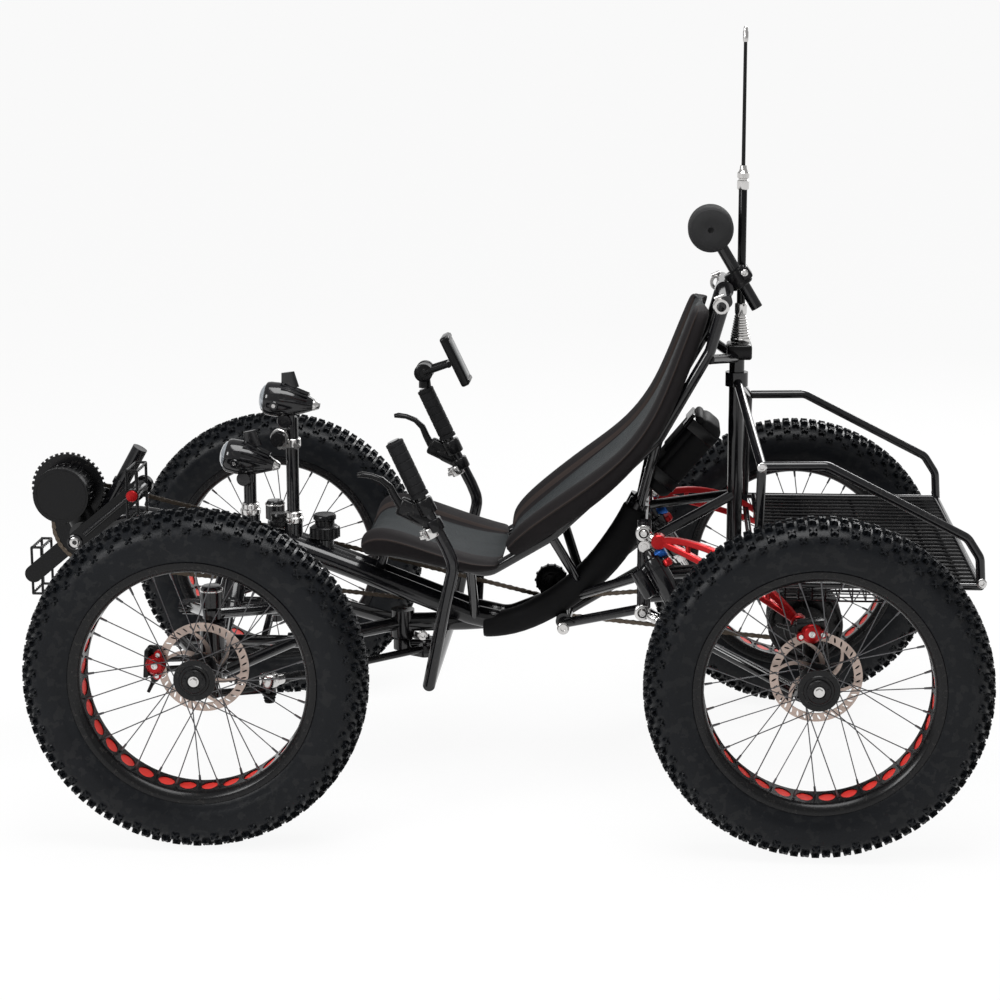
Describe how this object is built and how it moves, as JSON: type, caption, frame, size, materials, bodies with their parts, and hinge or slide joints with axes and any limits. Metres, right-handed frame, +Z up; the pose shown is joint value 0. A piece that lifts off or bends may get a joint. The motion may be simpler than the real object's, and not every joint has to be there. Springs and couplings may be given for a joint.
{
  "type": "electric recumbent quadricycle",
  "caption": "Recumbent pedal quadricycle with fat-tyred wire wheels, crank motor, mesh seat, under-seat steering and rear rack.",
  "frame": {"origin": "on the ground, at the middle of the outer box's base", "axes": "-X is forward, +Y is the right side, +Z is up"},
  "size_m": [1.7996, 0.96, 1.3956],
  "materials": {
    "tyre": "matt black rubber",
    "wheel_metal": "black anodised with steel spokes",
    "steel": "plain steel",
    "aluminium": "satin aluminium",
    "red_aluminium": "red anodised",
    "black_fabric": "black mesh and neoprene",
    "black_rubber": "black foam rubber",
    "black_plastic": "matt black moulding",
    "black_aluminium": "black anodised",
    "black_paint": "gloss black"
  },
  "bodies": {
    "chassis": {"antenna": "black_paint", "battery": "black_fabric", "chain": "steel", "chain_idler": "black_plastic", "differential": "aluminium", "drive_motor": "black_aluminium", "frame_wrap": "black_fabric", "front_shocks": "aluminium", "front_wishbones": "black_paint", "head_lamps": "black_plastic", "headrest_roller": "black_rubber", "main_frame": "black_paint", "motor_ring": "black_aluminium", "rack_basket": "black_paint", "rack_deck": "black_paint", "rack_frame": "black_paint", "rear_carriers": "black_aluminium", "rear_lower_arms": "black_paint", "rear_shocks": "aluminium", "rear_subframe": "black_paint", "rear_upper_arms": "red_aluminium", "seat_back": "black_fabric", "seat_frame": "black_paint", "seat_pan": "black_fabric"},
    "left_knuckle": {"front_left_knuckle": "black_aluminium"},
    "left_tie_rod": {"left_tie_rod": "steel"},
    "front_left_wheel": {"front_left_tyre": "tyre", "front_left_wheel": "wheel_metal"},
    "rear_left_wheel": {"rear_left_tyre": "tyre", "rear_left_wheel": "wheel_metal", "rear_left_half_shaft": "steel"},
    "left_pedal": {"left_pedal": "black_plastic"},
    "right_knuckle": {"front_right_knuckle": "black_aluminium"},
    "right_tie_rod": {"right_tie_rod": "steel"},
    "front_right_wheel": {"front_right_tyre": "tyre", "front_right_wheel": "wheel_metal"},
    "rear_right_wheel": {"rear_right_tyre": "tyre", "rear_right_wheel": "wheel_metal", "rear_right_half_shaft": "steel"},
    "right_pedal": {"right_pedal": "black_plastic"},
    "steering": {"handlebar": "black_paint", "grips": "black_rubber", "brake_levers": "black_aluminium", "display": "black_plastic"},
    "cranks": {"crankset": "black_aluminium"}
  },
  "joints": [
    {"name": "steering_turn", "type": "hinge", "parent": "chassis", "child": "steering", "pos_m": [-0.15519, 0, 0.27803], "axis": [0, 0, 1], "range_deg": [-25, 25]},
    {"name": "left_kingpin", "type": "hinge", "parent": "chassis", "child": "left_knuckle", "pos_m": [-0.45215, -0.33, 0.298], "axis": [0, 0, 1], "range_deg": [-25, 25]},
    {"name": "left_tie_rod_ball", "type": "hinge", "parent": "steering", "child": "left_tie_rod", "pos_m": [-0.11119, -0.025, 0.2348], "axis": [0, 0, 1], "range_deg": [-40, 40]},
    {"name": "front_left_wheel_spin", "type": "hinge", "parent": "left_knuckle", "child": "front_left_wheel", "pos_m": [-0.46215, -0.43, 0.298], "axis": [0, 1, 0], "continuous": true},
    {"name": "rear_left_wheel_spin", "type": "hinge", "parent": "chassis", "child": "rear_left_wheel", "pos_m": [0.60185, -0.43, 0.298], "axis": [0, 1, 0], "continuous": true},
    {"name": "left_pedal_spin", "type": "hinge", "parent": "cranks", "child": "left_pedal", "pos_m": [-0.62239, -0.1, 0.55836], "axis": [0, 1, 0], "continuous": true},
    {"name": "right_kingpin", "type": "hinge", "parent": "chassis", "child": "right_knuckle", "pos_m": [-0.45215, 0.33, 0.298], "axis": [0, 0, 1], "range_deg": [-25, 25]},
    {"name": "right_tie_rod_ball", "type": "hinge", "parent": "steering", "child": "right_tie_rod", "pos_m": [-0.11119, 0.025, 0.2348], "axis": [0, 0, 1], "range_deg": [-40, 40]},
    {"name": "front_right_wheel_spin", "type": "hinge", "parent": "right_knuckle", "child": "front_right_wheel", "pos_m": [-0.46215, 0.43, 0.298], "axis": [0, 1, 0], "continuous": true},
    {"name": "rear_right_wheel_spin", "type": "hinge", "parent": "chassis", "child": "rear_right_wheel", "pos_m": [0.60185, 0.43, 0.298], "axis": [0, 1, 0], "continuous": true},
    {"name": "right_pedal_spin", "type": "hinge", "parent": "cranks", "child": "right_pedal", "pos_m": [-0.88285, 0.1, 0.33982], "axis": [0, 1, 0], "continuous": true},
    {"name": "crank_turn", "type": "hinge", "parent": "chassis", "child": "cranks", "pos_m": [-0.75262, 0, 0.44909], "axis": [0, 1, 0], "continuous": true}
  ],
  "couplings": [
    {"joint": "left_kingpin", "follows": "steering_turn", "ratio": 1},
    {"joint": "left_tie_rod_ball", "follows": "steering_turn", "ratio": -1.1989},
    {"joint": "right_kingpin", "follows": "steering_turn", "ratio": 1},
    {"joint": "right_tie_rod_ball", "follows": "steering_turn", "ratio": -1.1989}
  ]
}
